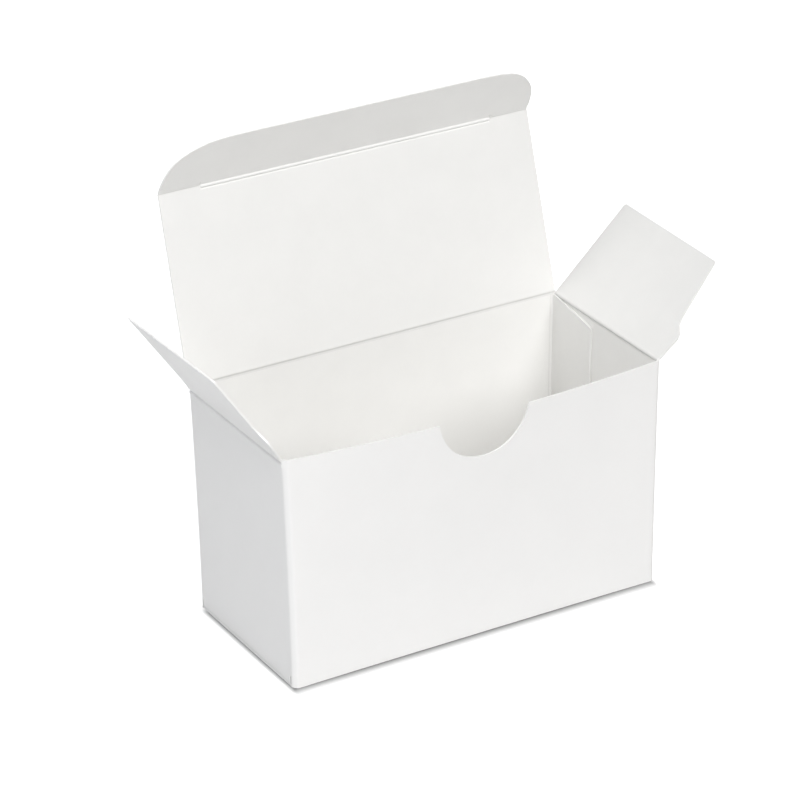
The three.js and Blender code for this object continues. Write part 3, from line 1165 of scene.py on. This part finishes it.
def make_world():
    """An even dome that the camera sees as white."""
    world = bpy.data.worlds.new("studio dome")
    dome = Finish(world, "ShaderNodeOutputWorld")
    seen = dome.node("ShaderNodeLightPath").outputs["Is Camera Ray"]
    light, white = (
        dome.node("ShaderNodeBackground", {"Color": (1, 1, 1, 1), "Strength": strength})
        for strength in (bpy.context.scene.card_box_studio.dome, 1.0)
    )
    sockets = {0: seen, 1: light.outputs[0], 2: white.outputs[0]}
    dome.show(dome.node("ShaderNodeMixShader", sockets))
    bpy.context.scene.world = world


# ---------------- operators


class CARDBOX_OT_sleeve(bpy.types.Operator):
    """Fold the wall wrap with its notch, glue tab and inner foot flaps"""

    bl_idname = "card_box.sleeve"
    bl_label = "Wall Wrap"

    def execute(self, context):
        make_sleeve()
        return {"FINISHED"}


class CARDBOX_OT_lid(bpy.types.Operator):
    """Fold the lid panel and its tuck flap"""

    bl_idname = "card_box.lid"
    bl_label = "Lid and Tuck Flap"

    def execute(self, context):
        make_lid()
        make_tuck()
        return {"FINISHED"}


class CARDBOX_OT_dust_flaps(bpy.types.Operator):
    """Fold the two dust flaps"""

    bl_idname = "card_box.dust_flaps"
    bl_label = "Dust Flaps"

    def execute(self, context):
        make_dust_flap(-1)
        make_dust_flap(1)
        return {"FINISHED"}


class CARDBOX_OT_foot(bpy.types.Operator):
    """Fold the bottom lid and its tuck"""

    bl_idname = "card_box.foot"
    bl_label = "Bottom Lid"

    def execute(self, context):
        make_foot()
        return {"FINISHED"}


class CARDBOX_OT_stage(bpy.types.Operator):
    """Set up the camera, the lamps, the dome and the floor"""

    bl_idname = "card_box.stage"
    bl_label = "Studio"

    def execute(self, context):
        studio = context.scene.card_box_studio
        context.scene.view_settings.view_transform = "Standard"
        make_camera()
        make_world()
        make_lamp("sky lamp", "SUN", studio.sky, (0, -1, 0.95), 42)
        make_lamp("front lamp", "AREA", studio.front, (0, -0.5, 0.45), 0.4)
        make_lamp("left lamp", "AREA", studio.left, (-0.3, 0.05, 0.55), 0.4)
        make_lamp("back lamp", "SUN", studio.back, (0.3, 1, 0.35), 50)
        make_lamp("side lamp", "AREA", studio.side, (-0.5, -0.05, 0.2), 0.3, (0.93, 0.96, 1))
        make_floor()
        return {"FINISHED"}


class CARDBOX_PT_panel(bpy.types.Panel):
    """Card box tools in the sidebar"""

    bl_label = "Card Box"
    bl_idname = "CARDBOX_PT_panel"
    bl_space_type = "VIEW_3D"
    bl_region_type = "UI"
    bl_category = "Card Box"

    def draw(self, context):
        for operator in OPERATORS:
            self.layout.operator(operator.bl_idname)
        for group in ("card_box_sizes", "card_box_finish", "card_box_studio"):
            box = self.layout.box()
            settings = getattr(context.scene, group)
            for key in settings.__annotations__:
                box.prop(settings, key)


OPERATORS = (
    CARDBOX_OT_stage,
    CARDBOX_OT_sleeve,
    CARDBOX_OT_lid,
    CARDBOX_OT_dust_flaps,
    CARDBOX_OT_foot,
)
GROUPS = {
    "card_box_sizes": CardBoxSizes,
    "card_box_finish": CardBoxFinish,
    "card_box_studio": CardBoxStudio,
}


def register():
    """Adds the classes and the settings."""
    for cls in (*GROUPS.values(), *OPERATORS, CARDBOX_PT_panel):
        bpy.utils.register_class(cls)
    for key, group in GROUPS.items():
        setattr(bpy.types.Scene, key, bpy.props.PointerProperty(type=group))


def unregister():
    """Takes the settings and the classes away."""
    for key in GROUPS:
        delattr(bpy.types.Scene, key)
    for cls in (CARDBOX_PT_panel, *reversed(OPERATORS), *reversed(list(GROUPS.values()))):
        bpy.utils.unregister_class(cls)


def build():
    """Runs the operators in order."""
    bpy.ops.card_box.stage()
    bpy.ops.card_box.sleeve()
    bpy.ops.card_box.lid()
    bpy.ops.card_box.dust_flaps()
    bpy.ops.card_box.foot()


def main():
    """Registers the add-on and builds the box."""
    register()
    build()


if __name__ == "__main__":
    main()
